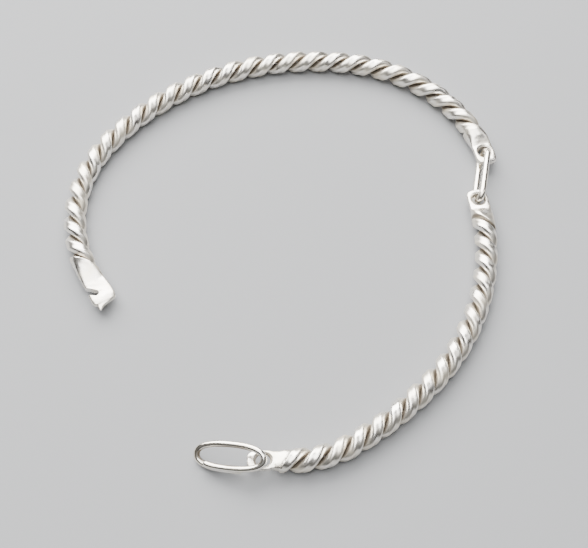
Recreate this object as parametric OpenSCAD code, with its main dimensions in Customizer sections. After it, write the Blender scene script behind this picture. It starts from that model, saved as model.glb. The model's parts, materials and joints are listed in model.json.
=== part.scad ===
// Hinged bangle of twisted wire: two arcs joined by an oval link, closed by a ring over a slotted hook.
// It lies open on a flat surface. +Z is up, and the origin is under the middle of its outline.

/* [Wire] */
// Thickness of each of the two flattened wires twisted together, measured out from the bar's centre
wire_t = 1.62; // [1.58:0.01:1.64]
// Width of each wire, measured round the bar
wire_w = 2.26; // [2.20:0.02:2.30]
// Length of one full turn of the long arc's twist
long_pitch = 6.9; // [6.5:0.1:7.3]
// Length of one full turn of the short arc's twist
short_pitch = 6.3; // [6.1:0.1:6.7]

/* [Ends] */
// Width of the flat hinge ends
hinge_end_w = 3.1; // [3.0:0.05:3.3]
// Thickness of the hinge ends and the hook at their tips
end_t = 1.0; // [0.95:0.05:1.05]
// Thickness of the clasp end at its tip
clasp_t = 0.9; // [0.80:0.05:0.95]
// Radius of the two holes that the link passes through
hinge_hole_r = 1.0; // [0.97:0.01:1.02]
// Radius of the hole that the clasp ring passes through
clasp_hole_r = 1.0; // [0.95:0.05:1.05]
// Width of the hook's slot
slot_w = 0.95; // [0.90:0.05:1.05]

/* [Link and ring] */
// Diameter of the wire that the link is bent from
link_wire_d = 1.0; // [0.90:0.05:1.00]
// Diameter of the wire that the clasp ring is bent from
ring_wire_d = 0.85; // [0.80:0.05:0.90]

/* [Hidden] */

silver = [0.80, 0.78, 0.74];

// The two wires of a bar all but touch, and the bar rests on z = 0
wire_gap = 0.02;
wire_squareness = 2.3;
helix_r = (wire_t + wire_gap) / 2;
bar_z = wire_t + 2 * wire_gap;

// Centre lines in plan: a start point with its heading, then [radius, degrees] bends
// and [0, length] straights. The long arc turns left and the short arc turns right.
long_start = [31.5, 14.4, 103];
long_bends = [[0, 1.5], [24.6, 66.8], [38.7, 65.9], [22.4, 64.1], [0, 5.8]];
short_start = [29.1, 9.05, -81];
short_bends = [[0, 2.5], [36, 52], [53, 15.2], [15.5, 31.3], [0, 6]];

function bend_len(b) = b[0] == 0 ? b[1] : b[0] * b[1] * PI / 180;
function line_len(bends, i = 0) = i == len(bends) ? 0 : bend_len(bends[i]) + line_len(bends, i + 1);
long_len = line_len(long_bends);
short_len = line_len(short_bends);

// Where each flat end's root starts at the bar's centre. Each root is cut slanting along the
// twist's grooves: the slant is the distance forwards for each millimetre to the left. The wires are cut
// at the same slant and run a little way into the root.
long_roots = [6.1, long_len - 7.6];
long_slants = [0.3, 1.0];
short_roots = [6.0, short_len - 5.9];
short_slants = [0.8, 0.6];
root_d = 2 * bar_z;
wire_into_root = 0.4;

// Where the first wire of each arc would stand on its helix at the start of the centre line
long_phase = 48;
short_phase = 330;

// Distance from each flat end's tip to its hole
long_hole_s = 2.0;
short_hole_s = 1.7;
clasp_hole_s = 2.1;
hole_chamfer = 0.25;

// The hook's slot: its round inner end in the hook's own plan, and its slant from the bar's line
slot_end_s = 1.87;
slot_end_side = -0.63;
slot_slant = 49.5;

// The hinge link leans over about its own length, and its tips stand a little past the holes
link_w = 2.4;
link_lean = 23;
link_past_hole = 0.075;

// The clasp ring is a squared oval that dips from its hole to the surface the bangle lies on and leans
// to one side. Its two wire ends lie side by side.
ring_half_len = 4.76;
ring_half_w = 1.65;
ring_squareness = 2.39;
ring_heading = -11;
ring_dip = 13;
ring_lean = 33;
ring_from = -140;
ring_to = 284;
ring_side_step = 0.80;
ring_spread = 0.36;
ring_offset = [-4.27, 0.25, 0.70];

// One step of length s along a bend, turning left for side = 1 and right for side = -1
function along(at, bend, s, side) =
    let (h = at[2], r = side * bend[0], a = bend[0] == 0 ? 0 : s / r * 180 / PI)
    bend[0] == 0
        ? [at[0] + s * cos(h), at[1] + s * sin(h), h]
        : [at[0] + r * (sin(h + a) - sin(h)), at[1] - r * (cos(h + a) - cos(h)), h + a];

// The place and heading at distance s along a centre line
function place(at, bends, s, side, i = 0) =
    let (l = bend_len(bends[i]))
    (s <= l || i == len(bends) - 1)
        ? along(at, bends[i], s, side)
        : place(along(at, bends[i], l, side), bends, s - l, side, i + 1);

function unit(v) = v / norm(v);

// A sine or cosine bent so that an oval drawn with it is squared: 2 leaves it round
function squared(v, squareness) = sign(v) * pow(abs(v), 2 / squareness);

// A ring of points about centre c, in the plane of the unit vectors u and v
function ring_points(c, u, v, r, sides) =
    [for (k = [0 : sides - 1]) c + r * (cos(360 * k / sides) * u + sin(360 * k / sides) * v)];

// One section of a twisted wire, square across the bar: a squared oval on its left-handed helix
wire_sides = 8;
function wire_section(at, bends, side, pitch, phase, s) =
    let (
        p = place(at, bends, s, side),
        turn = phase - 360 * s / pitch,
        n = [-sin(p[2]), cos(p[2]), 0],
        out = n * cos(turn) + [0, 0, sin(turn)],
        across = [0, 0, cos(turn)] - n * sin(turn),
        c = [p[0], p[1], bar_z] + helix_r * out
    )
    [for (k = [0 : wire_sides - 1]) let (
        a = 360 * k / wire_sides,
        x = squared(cos(a), wire_squareness) * wire_t / 2,
        y = squared(sin(a), wire_squareness) * wire_w / 2)
        c + x * out + y * across];

// A skin over a list of rings of points, all with the same number of points
module skin(rings) {
    n = len(rings[0]);
    m = len(rings);
    points = [for (ring = rings) each ring];
    sides = [for (i = [0 : m - 2], k = [0 : n - 1]) let (
        a = i * n + k,
        b = i * n + (k + 1) % n)
        each [[a, b + n, b], [a, a + n, b + n]]];
    start_cap = [[for (k = [0 : n - 1]) k]];
    end_cap = [[for (k = [0 : n - 1]) m * n - 1 - k]];
    polyhedron(points = points, faces = concat(sides, start_cap, end_cap), convexity = 10);
}

// All that lies past a slanting cut across the bar: forwards for way = 1 and backwards for way = -1
module past_cut(at, bends, side, s, slant, way) {
    p = place(at, bends, s, side);
    translate([p[0], p[1], bar_z])
        rotate([0, 0, p[2] - atan(slant)])
            translate([4 * way, 0, 0])
                cube([8, 12, 8], center = true);
}

// A wire is drawn a little too long at both ends and then cut there
steps_per_turn = 12;
cut_spare = 3;
module twisted_wire(at, bends, side, roots, slants, pitch, phase) {
    from = roots[0] - wire_into_root - cut_spare;
    to = roots[1] + wire_into_root + cut_spare;
    steps = round((to - from) / pitch * steps_per_turn);
    difference() {
        skin([for (i = [0 : steps])
            wire_section(at, bends, side, pitch, phase, from + (to - from) * i / steps)]);
        past_cut(at, bends, side, roots[0] - wire_into_root, slants[0], -1);
        past_cut(at, bends, side, roots[1] + wire_into_root, slants[1], 1);
    }
}

// One section of a flat end: [distance, shift to the left, width, thickness, squareness, slant]
end_sides = 20;
function end_section(at, bends, side, e) =
    let (
        p = place(at, bends, e[0], side),
        n = [-sin(p[2]), cos(p[2]), 0],
        across = n + e[5] * [cos(p[2]), sin(p[2]), 0],
        c = [p[0], p[1], bar_z] + e[1] * n
    )
    [for (k = [0 : end_sides - 1]) let (
        a = 360 * k / end_sides,
        x = squared(cos(a), e[4]) * e[2] / 2,
        z = squared(sin(a), e[4]) * e[3] / 2)
        c + x * across + [0, 0, z]];

module flat_end(at, bends, side, sections) {
    skin([for (e = sections) end_section(at, bends, side, e)]);
}

// A hole through a flat end, eased where it meets the two faces
module eased_hole(at, bends, side, s, hole_r, thick) {
    p = place(at, bends, s, side);
    half_t = thick / 2;
    translate([p[0], p[1], bar_z])
        rotate_extrude($fn = 64)
            polygon([[0, -2], [hole_r + hole_chamfer + 0.15, -2], [hole_r + hole_chamfer + 0.15, -half_t - 0.15],
                [hole_r, -half_t + hole_chamfer], [hole_r, half_t - hole_chamfer],
                [hole_r + hole_chamfer + 0.15, half_t + 0.15], [hole_r + hole_chamfer + 0.15, 2], [0, 2]]);
}

// Hinge end: a squared tip, a flat with the hole, then a rise into the full round of the root
function hinge_sections(root, slant) = [
    [0.00, 0, hinge_end_w - 1.3, end_t - 0.30, 4, 0],
    [0.12, 0, hinge_end_w - 0.8, end_t - 0.12, 4, 0],
    [0.45, 0, hinge_end_w - 0.25, end_t, 4, 0],
    [1.00, 0, hinge_end_w, end_t, 4.5, 0],
    [3.40, 0, hinge_end_w, end_t + 0.05, 4.5, 0],
    [root - 2.0, 0, hinge_end_w + 0.05, end_t + 0.7, 3.6, 0.3 * slant],
    [root - 1.2, 0, hinge_end_w + 0.15, end_t + 1.6, 2.8, 0.7 * slant],
    [root - 0.5, 0, root_d, root_d - 0.2, 2.2, slant],
    [root - 0.2, 0, root_d, root_d, 2, slant],
    [root, 0, root_d - 0.3, root_d - 0.3, 2, slant]];

module long_arc_wire_a() {
    color(silver)
        twisted_wire(long_start, long_bends, 1, long_roots, long_slants, long_pitch, long_phase);
}

module long_arc_wire_b() {
    color(silver)
        twisted_wire(long_start, long_bends, 1, long_roots, long_slants, long_pitch, long_phase + 180);
}

module long_arc_hinge_end() {
    color(silver)
        difference() {
            flat_end(long_start, long_bends, 1, hinge_sections(long_roots[0], long_slants[0]));
            eased_hole(long_start, long_bends, 1, long_hole_s, hinge_hole_r, end_t);
        }
}

// The flat ends at the far end of each arc are listed root first, so that all skins run one way
module hook_end() {
    tip = place(long_start, long_bends, long_len, 1);
    root = long_roots[1];
    slant = long_slants[1];
    sections = [
        [root, 0, root_d - 0.3, root_d - 0.3, 2, slant],
        [root + 0.2, 0, root_d, root_d, 2, slant],
        [root + 0.5, 0, root_d, root_d - 0.2, 2.2, slant],
        [root + 1.3, 0, root_d - 0.1, 2.6, 2.8, 0.75 * slant],
        [root + 2.6, 0, 3.3, 1.85, 3.4, 0.3 * slant],
        [long_len - 3.8, 0.02, 3.35, 1.35, 4, 0.05 * slant],
        [long_len - 2.6, 0.05, 3.45, end_t + 0.15, 4.5, 0],
        [long_len - 1.0, 0.06, 3.6, end_t + 0.10, 4.5, 0],
        [long_len - 0.45, 0.04, 3.45, end_t, 4, 0],
        [long_len - 0.12, 0.00, 3.0, end_t - 0.12, 4, 0],
        [long_len, -0.05, 2.5, end_t - 0.30, 4, 0],
        [long_len + 0.35, -0.80, 1.0, end_t - 0.45, 3, 0],
        [long_len + 0.80, -1.10, 0.3, end_t - 0.70, 2, 0]];
    color(silver)
        difference() {
            flat_end(long_start, long_bends, 1, sections);
            translate([tip[0], tip[1], 0])
                rotate([0, 0, tip[2]])
                    translate([-slot_end_s, slot_end_side, 0])
                        rotate([0, 0, slot_slant]) {
                            cylinder(r = slot_w / 2, h = 2 * bar_z, $fn = 48);
                            translate([-4, -slot_w / 2, 0])
                                cube([4, slot_w, 2 * bar_z]);
                        }
        }
}

// The link's length follows from the two holes that it joins
module hinge_link() {
    upper = place(long_start, long_bends, long_hole_s, 1);
    lower = place(short_start, short_bends, short_hole_s, -1);
    reach = [lower[0] - upper[0], lower[1] - upper[1]];
    half_run = (norm(reach) + 2 * link_past_hole - link_w) / 2;
    r = link_wire_d / 2;
    color(silver)
        translate([(upper[0] + lower[0]) / 2, (upper[1] + lower[1]) / 2, bar_z])
            rotate([0, 0, atan2(reach[1], reach[0])])
                rotate([90 - link_lean, 0, 0])
                    union() {
                        for (y = [-link_w / 2, link_w / 2])
                            translate([-half_run, y, 0])
                                rotate([0, 90, 0])
                                    cylinder(r = r, h = 2 * half_run, $fn = 32);
                        for (end = [0, 1])
                            rotate([0, 0, 180 * end])
                                translate([half_run, 0, 0])
                                    rotate([0, 0, -90])
                                        rotate_extrude(angle = 180, $fn = 48)
                                            translate([link_w / 2, 0])
                                                circle(r = r, $fn = 32);
                    }
}

module short_arc_wire_a() {
    color(silver)
        twisted_wire(short_start, short_bends, -1, short_roots, short_slants, short_pitch, short_phase);
}

module short_arc_wire_b() {
    color(silver)
        twisted_wire(short_start, short_bends, -1, short_roots, short_slants, short_pitch, short_phase + 180);
}

module short_arc_hinge_end() {
    color(silver)
        difference() {
            flat_end(short_start, short_bends, -1, hinge_sections(short_roots[0], short_slants[0]));
            eased_hole(short_start, short_bends, -1, short_hole_s, hinge_hole_r, end_t);
        }
}

module clasp_end() {
    root = short_roots[1];
    slant = short_slants[1];
    sections = [
        [root, 0, root_d - 0.3, root_d - 0.6, 2.2, slant],
        [root + 0.2, 0, root_d - 0.1, root_d - 0.5, 2.2, slant],
        [root + 0.6, 0, 3.1, 2.3, 2.6, slant],
        [root + 1.2, 0, 2.85, 1.7, 3.2, 0.6 * slant],
        [root + 1.9, 0, 2.6, 1.25, 3.6, 0.25 * slant],
        [short_len - 3.5, 0, 2.5, clasp_t + 0.1, 4, 0],
        [short_len - 2.8, 0, 2.8, clasp_t, 4.5, 0],
        [short_len - 1.4, 0, 2.8, clasp_t, 4.5, 0],
        [short_len - 0.6, 0, 2.5, clasp_t, 4, 0],
        [short_len - 0.2, 0, 2.0, clasp_t - 0.12, 4, 0],
        [short_len, 0, 1.4, clasp_t - 0.30, 4, 0]];
    color(silver)
        difference() {
            flat_end(short_start, short_bends, -1, sections);
            eased_hole(short_start, short_bends, -1, short_len - clasp_hole_s, clasp_hole_r, clasp_t);
        }
}

// The clasp ring's own axes: along its length towards the hole, across it, and out of its plane
ring_along = [cos(ring_heading) * cos(ring_dip), sin(ring_heading) * cos(ring_dip), sin(ring_dip)];
ring_level = [-sin(ring_heading), cos(ring_heading), 0];
ring_across = cos(ring_lean) * ring_level + sin(ring_lean) * cross(ring_along, ring_level);
ring_out = cross(ring_along, ring_across);
ring_mid = (ring_from + ring_to) / 2;

// The ring's centre line at angle a: a squared oval that opens out and steps sideways as it goes round
function ring_line(a) =
    let (
        turns = (a - ring_mid) / 360,
        x = squared(cos(a), ring_squareness) * (ring_half_len + ring_spread * turns),
        y = squared(sin(a), ring_squareness) * (ring_half_w + ring_spread * turns)
    )
    x * ring_along + y * ring_across - ring_side_step * turns * ring_out;

module clasp_ring() {
    hole = place(short_start, short_bends, short_len - clasp_hole_s, -1);
    centre = [hole[0], hole[1], bar_z] + ring_offset;
    steps = 64;
    half_step = (ring_to - ring_from) / steps / 2;
    color(silver)
        skin([for (i = [0 : steps]) let (
            a = ring_from + 2 * half_step * i,
            run = unit(ring_line(a + half_step) - ring_line(a - half_step)),
            side = unit(cross(run, ring_out)))
            ring_points(centre + ring_line(a), side, cross(run, side), ring_wire_d / 2, 10)]);
}

long_arc_wire_a();
long_arc_wire_b();
long_arc_hinge_end();
hook_end();
hinge_link();
short_arc_wire_a();
short_arc_wire_b();
short_arc_hinge_end();
clasp_end();
clasp_ring();
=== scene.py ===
"""The looks of a hinged bangle of twisted silver wire, lying open, built around its CAD frame."""
import json
import math

import bmesh
import bpy
import numpy as np
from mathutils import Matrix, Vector, noise


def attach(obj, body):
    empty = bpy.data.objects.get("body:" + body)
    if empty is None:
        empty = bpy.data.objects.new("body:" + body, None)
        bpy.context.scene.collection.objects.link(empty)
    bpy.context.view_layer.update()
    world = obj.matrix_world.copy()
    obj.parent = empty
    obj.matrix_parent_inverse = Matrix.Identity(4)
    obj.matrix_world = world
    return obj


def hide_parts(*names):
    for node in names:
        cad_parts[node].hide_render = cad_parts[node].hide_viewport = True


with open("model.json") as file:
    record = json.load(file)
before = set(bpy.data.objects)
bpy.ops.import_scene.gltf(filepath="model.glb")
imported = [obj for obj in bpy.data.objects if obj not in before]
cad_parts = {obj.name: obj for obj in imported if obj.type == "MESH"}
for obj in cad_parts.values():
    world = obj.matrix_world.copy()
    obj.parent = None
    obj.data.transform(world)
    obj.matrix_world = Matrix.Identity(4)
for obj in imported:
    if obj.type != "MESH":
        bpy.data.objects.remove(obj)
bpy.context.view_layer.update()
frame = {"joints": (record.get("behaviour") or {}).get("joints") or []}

MM = 0.001
joint_at = {j["name"]: np.array(j["pos_m"]) / MM for j in frame["joints"]}

# ---------------------------------------------------------------- the design, in millimetres

WIRE_T, WIRE_W = 1.62, 2.26
WIRE_SQUARENESS = 2.3
WIRE_GAP = 0.02
HELIX_R = (WIRE_T + WIRE_GAP) / 2
BAR_Z = WIRE_T + 2 * WIRE_GAP
ROOT_D = 2 * BAR_Z + 0.02
INTO_ROOT = 0.4

# Centre lines: [radius, degrees] bends and [0, length] straights, which turn left for
# side = 1 and right for side = -1. Each starts at its own hinge end's tip. The roots are
# where the flat ends start, and the slants how far they slant along the grooves.
LONG = {
    "side": 1,
    "heading": 103,
    "bends": [[0, 1.5], [24.6, 66.8], [38.7, 65.9], [22.4, 64.1], [0, 5.8]],
    "hole_s": 2.0,
    "hole_at": joint_at["link_swing"],
    "roots": (6.1, -7.6),
    "slants": (0.3, 1.0),
    "pitch": 6.9,
    "phase": 48,
}
SHORT = {
    "side": -1,
    "heading": -81,
    "bends": [[0, 2.5], [36, 52], [53, 15.2], [15.5, 31.3], [0, 6]],
    "hole_s": 1.7,
    "hole_at": joint_at["short_arc_swing"],
    "roots": (6.0, -5.9),
    "slants": (0.8, 0.6),
    "pitch": 6.3,
    "phase": 330,
}
CLASP_HOLE_S = 2.1  # from the clasp end's tip


def bend_len(bend):
    return bend[1] if bend[0] == 0 else math.radians(bend[0] * bend[1])


def along(x, y, heading, bend, s, side):
    """The place and heading a distance s along one bend."""
    h = math.radians(heading)
    if bend[0] == 0:
        return x + s * math.cos(h), y + s * math.sin(h), heading
    r = side * bend[0]
    turned = h + s / r
    return (x + r * (math.sin(turned) - math.sin(h)), y - r * (math.cos(turned) - math.cos(h)),
            math.degrees(turned))


def place(arc, s):
    """The place in plan and the heading at distance s along an arc."""
    x, y = arc["start"]
    heading = arc["heading"]
    for i, bend in enumerate(arc["bends"]):
        length = bend_len(bend)
        if s <= length or i == len(arc["bends"]) - 1:
            x, y, heading = along(x, y, heading, bend, s, arc["side"])
            return x, y, math.radians(heading)
        x, y, heading = along(x, y, heading, bend, length, arc["side"])
        s -= length


def frame_at(arc, s):
    """The point on the bar's axis at distance s, and its unit vectors forwards and to the left."""
    x, y, h = place(arc, s)
    return (np.array([x, y, BAR_Z]), np.array([math.cos(h), math.sin(h), 0]),
            np.array([-math.sin(h), math.cos(h), 0]))


# Each arc's start follows from where its hinge hole is
for arc in (LONG, SHORT):
    arc["start"] = (0, 0)
    x, y, _ = place(arc, arc["hole_s"])
    arc["start"] = (arc["hole_at"][0] - x, arc["hole_at"][1] - y)
    arc["length"] = sum(bend_len(b) for b in arc["bends"])
    arc["roots"] = (arc["roots"][0], arc["length"] + arc["roots"][1])

UP = np.array([0, 0, 1.0])

# ---------------------------------------------------------------- mesh helpers


def unit(v):
    return v / np.linalg.norm(v)


def ease(x):
    t = np.clip(x, 0.0, 1.0)
    return t * t * (3 - 2 * t)


def skin(rings):
    """Points and faces of a closed skin over rings that all have the same number of points."""
    m, n = len(rings), len(rings[0])
    points = np.concatenate(rings)
    faces = []
    for i in range(m - 1):
        for k in range(n):
            a, b = i * n + k, i * n + (k + 1) % n
            faces.append((a, b, b + n, a + n))
    faces.append(tuple(reversed(range(n))))
    faces.append(tuple(range((m - 1) * n, m * n)))
    return points, faces


def squared(v, squareness):
    """A sine or cosine bent so that an oval drawn with it is squared. 2 leaves it round."""
    return np.sign(v) * np.abs(v) ** (2 / squareness)


def ring_points(centre, u, v, radius, sides):
    angles = np.arange(sides) * 2 * math.pi / sides
    return centre + radius * (np.outer(np.cos(angles), u) + np.outer(np.sin(angles), v))


def mesh_of(name, points, faces):
    """A mesh in millimetres, with its faces all turned outwards."""
    mesh = bpy.data.meshes.new(name)
    mesh.from_pydata([tuple(p) for p in points], [], faces)
    work = bmesh.new()
    work.from_mesh(mesh)
    bmesh.ops.recalc_face_normals(work, faces=work.faces)
    work.to_mesh(mesh)
    work.free()
    return mesh


def cut(mesh, *cutters):
    """The mesh with each cutter's volume taken out of it."""
    body = bpy.data.objects.new("cut_body", mesh)
    bpy.context.scene.collection.objects.link(body)
    tools = []
    for cutter in cutters:
        tool = bpy.data.objects.new("cut_tool", cutter)
        bpy.context.scene.collection.objects.link(tool)
        tools.append(tool)
        boolean = body.modifiers.new("cut", "BOOLEAN")
        boolean.operation = "DIFFERENCE"
        boolean.solver = "EXACT"
        boolean.object = tool
    bpy.context.view_layer.update()
    result = bpy.data.meshes.new_from_object(body.evaluated_get(bpy.context.evaluated_depsgraph_get()))
    for thing in [body, *tools]:
        bpy.data.objects.remove(thing)
    return result


def points_of(mesh):
    flat = np.empty(len(mesh.vertices) * 3)
    mesh.vertices.foreach_get("co", flat)
    return flat.reshape(-1, 3)


WIRE_CREASE, END_CREASE = 40, 50  # degrees past which an edge shades sharp


def finish_piece(name, mesh, tarnish_and_shade, body, nodes, material, crease=WIRE_CREASE):
    """Turns a mesh in millimetres into a piece that rides on a body and stands for CAD nodes."""
    points = points_of(mesh)
    # A per-point mask of tarnish and painted shade, which the material turns brown and duller
    layer = mesh.attributes.new("tarnish_and_shade", "FLOAT", "POINT")
    layer.data.foreach_set("value", np.clip(tarnish_and_shade(points), 0, 1))
    mesh.vertices.foreach_set("co", (points * MM).ravel())
    mesh.update()
    mesh.shade_smooth()
    mesh.set_sharp_from_angle(angle=math.radians(crease))
    mesh.materials.clear()
    mesh.materials.append(material)
    piece = bpy.data.objects.new(name, mesh)
    bpy.context.scene.collection.objects.link(piece)
    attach(piece, body)
    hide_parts(*nodes)
    return piece


def dents(points, size, depth, seed):
    """How far each point of a hand-worked surface stands off the true one."""
    shift = Vector((seed * 7.3, seed * 3.1, seed * 5.7))
    return np.array([depth * noise.noise(Vector(p) / size + shift) for p in points])


# ---------------------------------------------------------------- materials


SILVER = (0.96, 0.93, 0.875)
STRAW_SILVER = (SILVER[0] * 0.96, SILVER[1] * 0.91, SILVER[2] * 0.80)
# Brown mixed in where a piece's mask is high: partly tarnish, partly painted shade in the grooves, seams
# and holes and on the link and ring
TARNISH_AND_SHADE_BROWN = (0.30, 0.262, 0.215)
PATCHES_PER_METRE = 420
SCRATCHES_PER_METRE = 5200
SCRATCH_DEPTH = 0.006


def silver(name, rough, dent_size, dent_depth, scratch=0.35):
    """Polished silver: fine scratches, soft dents, uneven polish, and a brown mixed in where each
    piece's mask is high, which is partly tarnish and partly painted shade.
    """
    material = bpy.data.materials.new(name)
    material.use_nodes = True
    tree = material.node_tree
    shader = tree.nodes["Principled BSDF"]
    shader.inputs["Metallic"].default_value = 1.0

    def node(kind, **values):
        made = tree.nodes.new(kind)
        for key, value in values.items():
            setattr(made, key, value)
        return made

    def link(a, out, b, socket):
        tree.links.new(a.outputs[out], b.inputs[socket])

    place_on = node("ShaderNodeTexCoord")

    # Uneven polish: patches a few millimetres across
    patches = node("ShaderNodeTexNoise")
    patches.inputs["Scale"].default_value = PATCHES_PER_METRE
    patches.inputs["Detail"].default_value = 4
    link(place_on, "Object", patches, "Vector")

    # Scratches: noise stretched along one way
    stretch = node("ShaderNodeMapping")
    stretch.inputs["Scale"].default_value = (1, 0.12, 1)
    stretch.inputs["Rotation"].default_value = (0.3, 0.2, 0.7)
    link(place_on, "Object", stretch, "Vector")
    scratches = node("ShaderNodeTexNoise")
    scratches.inputs["Scale"].default_value = SCRATCHES_PER_METRE
    scratches.inputs["Detail"].default_value = 3
    link(stretch, "Vector", scratches, "Vector")

    # Soft dents of the hammer and the drawplate
    dent = node("ShaderNodeTexNoise")
    dent.inputs["Scale"].default_value = 1 / (dent_size * MM)
    dent.inputs["Detail"].default_value = 1
    link(place_on, "Object", dent, "Vector")

    # Each piece's mask of tarnish and painted shade
    tarnish_and_shade = node("ShaderNodeAttribute", attribute_name="tarnish_and_shade")
    speckle = node("ShaderNodeMath", operation="MULTIPLY_ADD")
    speckle.inputs[1].default_value = 0.9
    link(patches, "Fac", speckle, 0)
    link(tarnish_and_shade, "Fac", speckle, 2)
    amount = node("ShaderNodeMapRange")
    amount.inputs["From Min"].default_value = 0.62
    amount.inputs["From Max"].default_value = 1.35
    amount.interpolation_type = "SMOOTHSTEP"
    link(speckle, "Value", amount, "Value")

    # Clean silver varies from white to a faint straw yellow
    clean = node("ShaderNodeValToRGB")
    clean.color_ramp.elements[0].position = 0.35
    clean.color_ramp.elements[0].color = (*SILVER, 1)
    clean.color_ramp.elements[1].position = 0.75
    clean.color_ramp.elements[1].color = (*STRAW_SILVER, 1)
    link(patches, "Fac", clean, "Fac")
    colour = node("ShaderNodeMix", data_type="RGBA")
    link(amount, "Result", colour, "Factor")
    link(clean, "Color", colour, "A")
    colour.inputs["B"].default_value = (*TARNISH_AND_SHADE_BROWN, 1)
    link(colour, "Result", shader, "Base Color")

    gloss = node("ShaderNodeMapRange")
    gloss.inputs["From Min"].default_value = 0.3
    gloss.inputs["From Max"].default_value = 0.7
    gloss.inputs["To Min"].default_value = rough * 0.7
    gloss.inputs["To Max"].default_value = rough * 1.5
    link(patches, "Fac", gloss, "Value")
    dulled = node("ShaderNodeMath", operation="MULTIPLY_ADD")
    dulled.inputs[1].default_value = 0.35
    link(amount, "Result", dulled, 0)
    link(gloss, "Result", dulled, 2)
    link(dulled, "Value", shader, "Roughness")

    deep = node("ShaderNodeBump")
    deep.inputs["Strength"].default_value = 1.0
    deep.inputs["Distance"].default_value = dent_depth * 4 * MM
    link(dent, "Fac", deep, "Height")
    fine = node("ShaderNodeBump")
    fine.inputs["Strength"].default_value = scratch
    fine.inputs["Distance"].default_value = SCRATCH_DEPTH * MM
    link(scratches, "Fac", fine, "Height")
    link(deep, "Normal", fine, "Normal")
    link(fine, "Normal", shader, "Normal")
    return material


twisted_silver = silver("twisted_silver", rough=0.31, dent_size=1.6, dent_depth=0.004)
hammered_silver = silver("hammered_silver", rough=0.27, dent_size=0.9, dent_depth=0.013)
link_silver = silver("link_silver", rough=0.13, dent_size=1.1, dent_depth=0.006, scratch=0.25)

# ---------------------------------------------------------------- the four wires

STEPS_PER_TURN = 44
WIRE_SIDES = 36
CUT_SPARE = 2.4  # how far each wire runs on before its slanting end is cut
CUT_REACH = 7.0  # faces nearer than this to a cut are the only ones it may touch
# How far from the bar's axis the groove's tarnish and painted shade reach
GROOVE_TARNISH_SHADE_R, GROOVE_TARNISH_SHADE_FADE = 0.80, 0.45


def wire_mesh(name, arc, turn_on):
    """One wire of the left-handed twist, ending a little inside both flat ends' slanting roots."""
    start, stop = arc["roots"][0] - INTO_ROOT, arc["roots"][1] + INTO_ROOT
    first, last = start - CUT_SPARE, stop + CUT_SPARE
    steps = round((last - first) / arc["pitch"] * STEPS_PER_TURN)
    angles = np.arange(WIRE_SIDES) * 2 * math.pi / WIRE_SIDES
    section_x = squared(np.cos(angles), WIRE_SQUARENESS)
    section_y = squared(np.sin(angles), WIRE_SQUARENESS)
    rings = []
    for i in range(steps + 1):
        s = first + (last - first) * i / steps
        x, y, h = place(arc, s)
        turn = math.radians(arc["phase"] + turn_on) - 2 * math.pi * s / arc["pitch"]
        n = np.array([-math.sin(h), math.cos(h), 0])
        out = n * math.cos(turn) + UP * math.sin(turn)
        across = UP * math.cos(turn) - n * math.sin(turn)
        # Drawn and twisted by hand, the wire isn't quite even
        worn = 0.6 * abs(0.018 * math.sin(0.9 * s + turn_on) + 0.010 * math.sin(2.3 * s + 1 + turn_on))
        centre = np.array([x, y, BAR_Z]) + HELIX_R * out
        rings.append(centre + np.outer(section_x * (WIRE_T / 2 - worn), out)
                     + np.outer(section_y * (WIRE_W / 2 - worn), across))
    mesh = mesh_of(name, *skin(rings))
    work = bmesh.new()
    work.from_mesh(mesh)
    for s, slant, way in ((start, arc["slants"][0], -1), (stop, arc["slants"][1], 1)):
        p, t, n = frame_at(arc, s)
        near = [f for f in work.faces if (f.calc_center_median() - Vector(p)).length < CUT_REACH]
        parts = list({*near, *(e for f in near for e in f.edges), *(v for f in near for v in f.verts)})
        outwards = Vector(unit(t - slant * n) * way)
        result = bmesh.ops.bisect_plane(work, geom=parts, plane_co=Vector(p), plane_no=outwards,
                                        clear_outer=True)
        edge = [e for e in result["geom_cut"] if isinstance(e, bmesh.types.BMEdge) and e.is_boundary]
        bmesh.ops.holes_fill(work, edges=edge, sides=0)
    bmesh.ops.recalc_face_normals(work, faces=work.faces)
    work.to_mesh(mesh)
    work.free()
    return mesh


def groove_tarnish_and_shade(arc):
    """Brown in the groove where the two wires meet, near the bar's axis: partly tarnish, partly painted
    shade of the groove.
    """
    line = np.array([place(arc, s)[:2] for s in np.linspace(0, arc["length"], 600)])

    def tarnish_and_shade(points):
        off = np.empty(len(points))
        for i in range(0, len(points), 4000):
            part = points[i:i + 4000]
            across = np.sqrt(((part[:, None, :2] - line[None]) ** 2).sum(2).min(1))
            off[i:i + 4000] = np.hypot(across, part[:, 2] - BAR_Z)
        return 1 - ease((off - GROOVE_TARNISH_SHADE_R) / GROOVE_TARNISH_SHADE_FADE)
    return tarnish_and_shade


for node_name, arc, turn_on, body in (
        ("long_arc_wire_a", LONG, 0, "long_arc"), ("long_arc_wire_b", LONG, 180, "long_arc"),
        ("short_arc_wire_a", SHORT, 0, "short_arc"), ("short_arc_wire_b", SHORT, 180, "short_arc")):
    finish_piece("fine_" + node_name, wire_mesh(node_name, arc, turn_on), groove_tarnish_and_shade(arc), body,
                 [node_name], twisted_silver)

# ---------------------------------------------------------------- the flat ends

HINGE_END_W = 3.1
END_T = 1.0
CLASP_T = 0.9
HINGE_HOLE_R = 1.0
CLASP_HOLE_R = 1.0
SLOT_W = 0.95
SLOT_END_S = 1.87
SLOT_END_SIDE = -0.63
SLOT_SLANT = 49.5
SLOT_TAPER = 0.04
SLOT_REACH = 4


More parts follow.
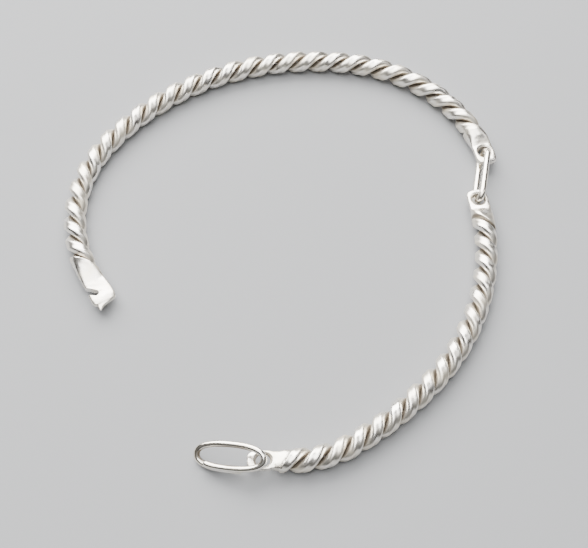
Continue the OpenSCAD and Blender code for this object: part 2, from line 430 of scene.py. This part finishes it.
def hinge_sections(root, slant):
    return [
        [0.00, 0, HINGE_END_W - 1.3, END_T - 0.30, 4, 0],
        [0.12, 0, HINGE_END_W - 0.8, END_T - 0.12, 4, 0],
        [0.45, 0, HINGE_END_W - 0.25, END_T, 4, 0],
        [1.00, 0, HINGE_END_W, END_T, 4.5, 0],
        [3.40, 0, HINGE_END_W, END_T + 0.05, 4.5, 0],
        [root - 2.0, 0, HINGE_END_W + 0.05, END_T + 0.7, 3.6, 0.3 * slant],
        [root - 1.2, 0, HINGE_END_W + 0.15, END_T + 1.6, 2.8, 0.7 * slant],
        [root - 0.5, 0, ROOT_D, ROOT_D - 0.2, 2.2, slant],
        [root - 0.2, 0, ROOT_D, ROOT_D, 2, slant],
        [root, 0, ROOT_D - 0.3, ROOT_D - 0.3, 2, slant]]


def hook_sections(root, slant, tip):
    return [
        [root, 0, ROOT_D - 0.3, ROOT_D - 0.3, 2, slant],
        [root + 0.2, 0, ROOT_D, ROOT_D, 2, slant],
        [root + 0.5, 0, ROOT_D, ROOT_D - 0.2, 2.2, slant],
        [root + 1.3, 0, ROOT_D - 0.1, 2.6, 2.8, 0.75 * slant],
        [root + 2.6, 0, 3.3, 1.85, 3.4, 0.3 * slant],
        [tip - 3.8, 0.02, 3.35, 1.35, 4, 0.05 * slant],
        [tip - 2.6, 0.05, 3.45, END_T + 0.15, 4.5, 0],
        [tip - 1.0, 0.06, 3.6, END_T + 0.10, 4.5, 0],
        [tip - 0.45, 0.04, 3.45, END_T, 4, 0],
        [tip - 0.12, 0.00, 3.0, END_T - 0.12, 4, 0],
        [tip, -0.05, 2.5, END_T - 0.30, 4, 0],
        [tip + 0.35, -0.80, 1.0, END_T - 0.45, 3, 0],
        [tip + 0.80, -1.10, 0.3, END_T - 0.70, 2, 0]]


def clasp_sections(root, slant, tip):
    return [
        [root, 0, ROOT_D - 0.3, ROOT_D - 0.6, 2.2, slant],
        [root + 0.2, 0, ROOT_D - 0.1, ROOT_D - 0.5, 2.2, slant],
        [root + 0.6, 0, 3.1, 2.3, 2.6, slant],
        [root + 1.2, 0, 2.85, 1.7, 3.2, 0.6 * slant],
        [root + 1.9, 0, 2.6, 1.25, 3.6, 0.25 * slant],
        [tip - 3.5, 0, 2.5, CLASP_T + 0.1, 4, 0],
        [tip - 2.8, 0, 2.8, CLASP_T, 4.5, 0],
        [tip - 1.4, 0, 2.8, CLASP_T, 4.5, 0],
        [tip - 0.6, 0, 2.5, CLASP_T, 4, 0],
        [tip - 0.2, 0, 2.0, CLASP_T - 0.12, 4, 0],
        [tip, 0, 1.4, CLASP_T - 0.30, 4, 0]]


def smooth_through(knots, values, at):
    """Values between knots on a curve that never overshoots them."""
    h = np.diff(knots)
    d = np.diff(values, axis=0) / h[:, None]
    slope = np.zeros_like(values)
    slope[0], slope[-1] = d[0], d[-1]
    for i in range(1, len(knots) - 1):
        a, b = d[i - 1], d[i]
        same = a * b > 0
        w1, w2 = 2 * h[i] + h[i - 1], h[i] + 2 * h[i - 1]
        safe_a, safe_b = np.where(same, a, 1), np.where(same, b, 1)
        slope[i] = np.where(same, (w1 + w2) / (w1 / safe_a + w2 / safe_b), 0)
    out = []
    for x in at:
        i = int(np.clip(np.searchsorted(knots, x) - 1, 0, len(h) - 1))
        t = (x - knots[i]) / h[i]
        out.append((2 * t**3 - 3 * t**2 + 1) * values[i] + (t**3 - 2 * t**2 + t) * h[i] * slope[i]
                   + (-2 * t**3 + 3 * t**2) * values[i + 1] + (t**3 - t**2) * h[i] * slope[i + 1])
    return out


END_SIDES = 72
SECTION_STEP = 0.11
NEAREST_TO_KNOT = 0.02
HAMMER_SIZE, HAMMER_DEPTH = 1.1, 0.035


def end_mesh(name, arc, sections, seed):
    """A flat end as a fine loft through its sections, with the marks of the hammer on its faces."""
    knots = np.array([e[0] for e in sections])
    values = np.array([e[1:] for e in sections], dtype=float)
    between = [s for s in np.arange(knots[0], knots[-1], SECTION_STEP)
               if np.abs(knots - s).min() > NEAREST_TO_KNOT]
    at = sorted([*between, *knots])
    angles = np.arange(END_SIDES) * 2 * math.pi / END_SIDES
    c, z = np.cos(angles), np.sin(angles)
    rings = []
    for s, (shift, width, thick, square, slant) in zip(at, smooth_through(knots, values, at)):
        p, t, n = frame_at(arc, s)
        x = squared(c, square) * width / 2
        y = squared(z, square) * thick / 2
        rings.append(p + shift * n + np.outer(x, n + slant * t) + np.outer(y, UP))
    points, faces = skin(rings)
    middle = np.repeat([r.mean(0) for r in rings], END_SIDES, axis=0)
    way = points - middle
    reach = np.linalg.norm(way, axis=1, keepdims=True)
    points = points + way / reach * dents(points, HAMMER_SIZE, HAMMER_DEPTH, seed)[:, None]
    return mesh_of(name, points, faces)


LIP_R = 0.22
HOLE_SIDES = 72
TOOL_Z = 2  # how far the cutting shapes reach above and below the bar's axis


def hole_tool(arc, s, hole_r, thick):
    """What a drilled hole takes away, with its lips rounded over at both faces."""
    p, _, _ = frame_at(arc, s)
    levels = [(-TOOL_Z, hole_r + 0.55), (-thick / 2 - 0.12, hole_r + 0.55)]
    for k in range(7):
        a = math.radians(15 * k)
        z = -thick / 2 - 0.02 + LIP_R * math.sin(a)
        levels.append((z, hole_r + LIP_R * (1 - math.sin(a)) + 0.10 * (1 - k / 6)))
    levels += [(-z, r) for z, r in reversed(levels)]
    angles = np.arange(HOLE_SIDES) * 2 * math.pi / HOLE_SIDES
    rings = [p + np.column_stack([r * np.cos(angles), r * np.sin(angles), np.full(HOLE_SIDES, z)])
             for z, r in levels]
    return mesh_of("hole_tool", *skin(rings))


def slot_tool(arc):
    """What the saw takes away for the hook's slot, a little wider at both faces and at its mouth."""
    p, t, n = frame_at(arc, arc["length"])
    centre = p - SLOT_END_S * t + SLOT_END_SIDE * n
    a = math.radians(SLOT_SLANT)
    run = t * math.cos(a) + n * math.sin(a)
    side = n * math.cos(a) - t * math.sin(a)
    half = SLOT_W / 2
    # Heights, and how far past the slot's own walls the cut goes there
    flare = [(-TOOL_Z, 0.3), (-0.66, 0.3), (-0.62, 0.07), (-0.57, 0.03), (-0.51, 0.01), (-0.44, 0)]
    flare += [(-z, f) for z, f in reversed(flare)]
    rings = []
    for z, f in flare:
        r = half + f
        outline = [(r * math.cos(b), r * math.sin(b)) for b in np.radians(np.linspace(-90, 90, 25))]
        outline += [(-x, r + SLOT_TAPER * x) for x in np.linspace(0.3, SLOT_REACH, 12)]
        outline += [(-x, -r - SLOT_TAPER * x) for x in np.linspace(SLOT_REACH, 0.3, 12)]
        rings.append(np.array([centre + u * run + v * side + z * UP for u, v in outline]))
    return mesh_of("slot_tool", *skin(rings))


# How wide the tarnish and painted shade reach at the seam and round the hole
SEAM_TARNISH_SHADE_W, HOLE_TARNISH_SHADE_W = 0.16, 0.14


def end_tarnish_and_shade(arc, root, slant, way, hole_s, hole_r):
    """Brown along the seam with the wires and on the walls of the hole: partly tarnish, partly painted
    shade of the seam and the hole.
    """
    rp, rt, rn = frame_at(arc, root)
    hp, _, _ = frame_at(arc, hole_s)

    def tarnish_and_shade(points):
        ahead = way * ((points - rp) @ rt - slant * ((points - rp) @ rn)) / math.hypot(1, slant)
        seam = 1 - ease((ahead - 0.02) / SEAM_TARNISH_SHADE_W)
        from_hole = np.hypot(points[:, 0] - hp[0], points[:, 1] - hp[1]) - hole_r
        wall = 1 - ease((from_hole - 0.04) / HOLE_TARNISH_SHADE_W)
        return np.maximum(seam * 0.8, wall * 0.75)
    return tarnish_and_shade


long_tip, short_tip = LONG["length"], SHORT["length"]
ENDS = [
    ("long_arc_hinge_end", LONG, 0, hinge_sections(LONG["roots"][0], LONG["slants"][0]),
     LONG["hole_s"], HINGE_HOLE_R, END_T, "long_arc"),
    ("hook_end", LONG, 1, hook_sections(LONG["roots"][1], LONG["slants"][1], long_tip),
     None, 0, END_T, "long_arc"),
    ("short_arc_hinge_end", SHORT, 0, hinge_sections(SHORT["roots"][0], SHORT["slants"][0]),
     SHORT["hole_s"], HINGE_HOLE_R, END_T, "short_arc"),
    ("clasp_end", SHORT, 1, clasp_sections(SHORT["roots"][1], SHORT["slants"][1], short_tip),
     short_tip - CLASP_HOLE_S, CLASP_HOLE_R, CLASP_T, "short_arc"),
]
for seed, (node_name, arc, far, sections, hole_s, hole_r, thick, body) in enumerate(ENDS):
    tool = slot_tool(arc) if hole_s is None else hole_tool(arc, hole_s, hole_r, thick)
    mesh = cut(end_mesh(node_name, arc, sections, seed + 1), tool)
    tarnish_and_shade = end_tarnish_and_shade(arc, arc["roots"][far], arc["slants"][far], 1 if far else -1,
                      arc["length"] - SLOT_END_S if hole_s is None else hole_s, hole_r)
    finish_piece("fine_" + node_name, mesh, tarnish_and_shade, body, [node_name],
                 hammered_silver, END_CREASE)

# ---------------------------------------------------------------- the link and the clasp ring

LINK_WIRE_D = 1.0
LINK_W = 2.4
LINK_LEAN = 23
LINK_PAST_HOLE = 0.075
LINK_RUN_POINTS, LINK_BEND_POINTS = 44, 40
TUBE_SIDES = 28


def tube(name, line, radii, up):
    """A tube along a line of points. The direction up is never along the line."""
    rings = []
    for i, p in enumerate(line):
        run = unit(line[min(i + 1, len(line) - 1)] - line[max(i - 1, 0)])
        u = unit(np.cross(run, up))
        rings.append(ring_points(p, u, np.cross(run, u), radii[i], TUBE_SIDES))
    return mesh_of(name, *skin(rings))


def closed_tube(name, line, radii, up):
    """A tube along a closed line of points in one plane, whose normal is up."""
    m = len(line)
    points, faces = [], []
    for i, p in enumerate(line):
        run = unit(line[(i + 1) % m] - line[i - 1])
        points.append(ring_points(p, np.cross(run, up), up, radii[i], TUBE_SIDES))
        here, ahead = i * TUBE_SIDES, (i + 1) % m * TUBE_SIDES
        for k in range(TUBE_SIDES):
            beside = (k + 1) % TUBE_SIDES
            faces.append((here + k, here + beside, ahead + beside, ahead + k))
    return mesh_of(name, np.concatenate(points), faces)


upper, _, _ = frame_at(LONG, LONG["hole_s"])
lower, _, _ = frame_at(SHORT, SHORT["hole_s"])
reach = lower - upper
half_run = (np.linalg.norm(reach) + 2 * LINK_PAST_HOLE - LINK_W) / 2
link_along = unit(reach)
link_level = np.cross(UP, link_along)
lean = math.radians(LINK_LEAN)
link_across = math.sin(lean) * link_level + math.cos(lean) * UP
link_out = np.cross(link_along, link_across)
# The link's outline, anticlockwise from the start of its lower strand
line, radii = [], []
r = LINK_W / 2
for x in np.linspace(-half_run, half_run, LINK_RUN_POINTS, endpoint=False):
    line.append((x, -r))
for a in np.radians(np.linspace(-90, 90, LINK_BEND_POINTS, endpoint=False)):
    line.append((half_run + r * math.cos(a), r * math.sin(a)))
for x in np.linspace(half_run, -half_run, LINK_RUN_POINTS, endpoint=False):
    line.append((x, r))
for a in np.radians(np.linspace(90, 270, LINK_BEND_POINTS, endpoint=False)):
    line.append((-half_run + r * math.cos(a), r * math.sin(a)))
for i, (x, y) in enumerate(line):
    # A soldered seam a little past the middle of the lower strand, and slight wear where the link hangs
    seam = math.exp(-((x - 0.6) / 0.22) ** 2) if y < 0 else 0
    wear = 0.02 * ease((abs(x) - half_run) / 0.8)
    radii.append(LINK_WIRE_D / 2 + 0.018 * seam - wear + 0.004 * math.sin(i * 0.37))
link_line = np.array([(upper + lower) / 2 + x * link_along + y * link_across for x, y in line])


def link_hole_shade(points):
    """Painted shade: the link is darker and duller where it runs through the two holes."""
    from_hole = np.minimum(np.linalg.norm(points[:, :2] - upper[:2], axis=1),
                           np.linalg.norm(points[:, :2] - lower[:2], axis=1))
    return 0.55 * (1 - ease((from_hole - 0.2) / 0.8))


finish_piece("fine_hinge_link", closed_tube("hinge_link", link_line, radii, link_out), link_hole_shade,
             "hinge_link", ["hinge_link"], link_silver)

RING_WIRE_D = 0.85
RING_HALF_LEN, RING_HALF_W = 4.76, 1.65
RING_SQUARENESS = 2.39
RING_FROM, RING_TO = -140, 284  # degrees, more than a full turn, so the ends overlap
RING_SIDE_STEP, RING_SPREAD = 0.80, 0.36
RING_FROM_HOLE = (-4.27, 0.25, 0.70)  # from the clasp end's hole to the ring's middle
RING_END_TAPER = 0.55
RING_END_R = 0.30  # the ends' radius as a share of the wire's
RING_POINTS = 230
heading, dip, ring_lean = math.radians(-11), math.radians(13), math.radians(33)
ring_along = np.array([math.cos(heading) * math.cos(dip), math.sin(heading) * math.cos(dip),
                       math.sin(dip)])
ring_level = np.array([-math.sin(heading), math.cos(heading), 0])
ring_across = math.cos(ring_lean) * ring_level + math.sin(ring_lean) * np.cross(ring_along, ring_level)
ring_out = np.cross(ring_along, ring_across)
ring_centre = np.array([*joint_at["ring_swing"][:2], BAR_Z]) + np.array(RING_FROM_HOLE)


def ring_line(a):
    turns = (a - (RING_FROM + RING_TO) / 2) / 360
    c, s = math.cos(math.radians(a)), math.sin(math.radians(a))
    x = squared(c, RING_SQUARENESS) * (RING_HALF_LEN + RING_SPREAD * turns)
    y = squared(s, RING_SQUARENESS) * (RING_HALF_W + RING_SPREAD * turns)
    return x * ring_along + y * ring_across - RING_SIDE_STEP * turns * ring_out


# Points at even steps along the ring's line, which leaves its squared corners smooth
dense = np.array([ring_line(a) for a in np.linspace(RING_FROM, RING_TO, 4000)])
run_so_far = np.concatenate([[0], np.cumsum(np.linalg.norm(np.diff(dense, axis=0), axis=1))])
even = np.linspace(0, run_so_far[-1], RING_POINTS)
ring_path = np.column_stack([np.interp(even, run_so_far, dense[:, k]) for k in range(3)])
for _ in range(3):
    ring_path[1:-1] = (ring_path[:-2] + 2 * ring_path[1:-1] + ring_path[2:]) / 4
from_end = np.minimum(even, even[-1] - even)
rounding = np.sqrt(np.clip(1 - (1 - np.clip(from_end / RING_END_TAPER, 0, 1)) ** 2, 0, 1))
ring_radii = RING_WIRE_D / 2 * (RING_END_R + (1 - RING_END_R) * rounding)
ring_radii = ring_radii + 0.004 * np.sin(even * 1.7)


def ring_inner_shade(points):
    """Painted shade: the ring is darker and duller on its inner side."""
    line = ring_centre + ring_path
    near = np.concatenate([((part[:, None] - line[None]) ** 2).sum(2).argmin(1)
                           for part in np.array_split(points, 12)])
    inwards = ring_centre - line[near]
    inwards = inwards / np.linalg.norm(inwards, axis=1, keepdims=True)
    inner = ((points - line[near]) * inwards).sum(1) / (RING_WIRE_D / 2)
    return 0.85 * ease((inner - 0.15) / 0.6)


finish_piece("fine_clasp_ring", tube("clasp_ring", ring_centre + ring_path, ring_radii, ring_out),
             ring_inner_shade, "clasp_ring", ["clasp_ring"], link_silver)

# ---------------------------------------------------------------- camera, light and floor

CAMERA_AT = (1.6, -98.0, 149.3)
LOOK_AT = (1.6, -4.7, 0)
LENS = 73.47
camera_data = bpy.data.cameras.new("camera")
camera_data.lens = LENS
camera_data.sensor_width = 36
camera_data.clip_start = 0.01
camera = bpy.data.objects.new("camera", camera_data)
bpy.context.scene.collection.objects.link(camera)
camera.location = Vector(CAMERA_AT) * MM
camera.rotation_euler = (Vector(LOOK_AT) * MM - camera.location).to_track_quat("-Z", "Y").to_euler()
bpy.context.scene.camera = camera

FLOOR_GREY = (0.285, 0.292, 0.305, 1)
FLOOR_HALF = 1.5  # metres
FLOOR_DROP = 0.00001  # metres below the CAD's lowest point
floor_mesh = bpy.data.meshes.new("floor")
floor_corners = [(-FLOOR_HALF, -FLOOR_HALF, 0), (FLOOR_HALF, -FLOOR_HALF, 0),
                 (FLOOR_HALF, FLOOR_HALF, 0), (-FLOOR_HALF, FLOOR_HALF, 0)]
floor_mesh.from_pydata(floor_corners, [], [(0, 1, 2, 3)])
floor = bpy.data.objects.new("floor", floor_mesh)
floor.location.z = -FLOOR_DROP
bpy.context.scene.collection.objects.link(floor)
floor_material = bpy.data.materials.new("floor_paint")
floor_material.use_nodes = True
floor_shader = floor_material.node_tree.nodes["Principled BSDF"]
floor_shader.inputs["Base Color"].default_value = FLOOR_GREY
floor_shader.inputs["Roughness"].default_value = 0.7
floor_shader.inputs["Specular IOR Level"].default_value = 0.2
floor_mesh.materials.append(floor_material)


def area_light(name, place_mm, size_mm, power, colour):
    """A rectangular light that faces the middle of the bangle."""
    light = bpy.data.lights.new(name, "AREA")
    light.shape = "RECTANGLE"
    light.size, light.size_y = size_mm[0] * MM, size_mm[1] * MM
    light.energy = power
    light.color = colour
    lamp = bpy.data.objects.new(name, light)
    bpy.context.scene.collection.objects.link(lamp)
    lamp.location = Vector(place_mm) * MM
    lamp.rotation_euler = (-lamp.location).to_track_quat("-Z", "Y").to_euler()


area_light("window", (-120, 330, 330), (640, 420), 11.0, (1.0, 0.98, 0.95))
area_light("overhead", (-60, -40, 480), (420, 420), 3.6, (1.0, 0.99, 0.97))
area_light("fill", (330, 60, 360), (200, 260), 0.3, (1.0, 0.98, 0.96))

# The room: bright above and dark lower down, with a neutral grey behind the floor's far edge
HORIZON = (0.26, 0.262, 0.27, 1)
LOW_WALL = (0.10, 0.095, 0.09, 1)
HIGH_WALL = (0.20, 0.19, 0.18, 1)
CEILING = (0.90, 0.91, 0.93, 1)
world = bpy.data.worlds.new("studio")
world.use_nodes = True
tree = world.node_tree
background = tree.nodes["Background"]
direction = tree.nodes.new("ShaderNodeTexCoord")
split = tree.nodes.new("ShaderNodeSeparateXYZ")
ramp = tree.nodes.new("ShaderNodeValToRGB")
ramp.color_ramp.elements[0].position = 0.0
ramp.color_ramp.elements[0].color = HORIZON
ramp.color_ramp.elements[1].position = 0.9
ramp.color_ramp.elements[1].color = CEILING
for position, colour in ((0.05, HORIZON), (0.12, LOW_WALL), (0.35, HIGH_WALL)):
    ramp.color_ramp.elements.new(position).color = colour
tree.links.new(direction.outputs["Generated"], split.inputs["Vector"])
tree.links.new(split.outputs["Z"], ramp.inputs["Fac"])
tree.links.new(ramp.outputs["Color"], background.inputs["Color"])
background.inputs["Strength"].default_value = 0.40
bpy.context.scene.world = world
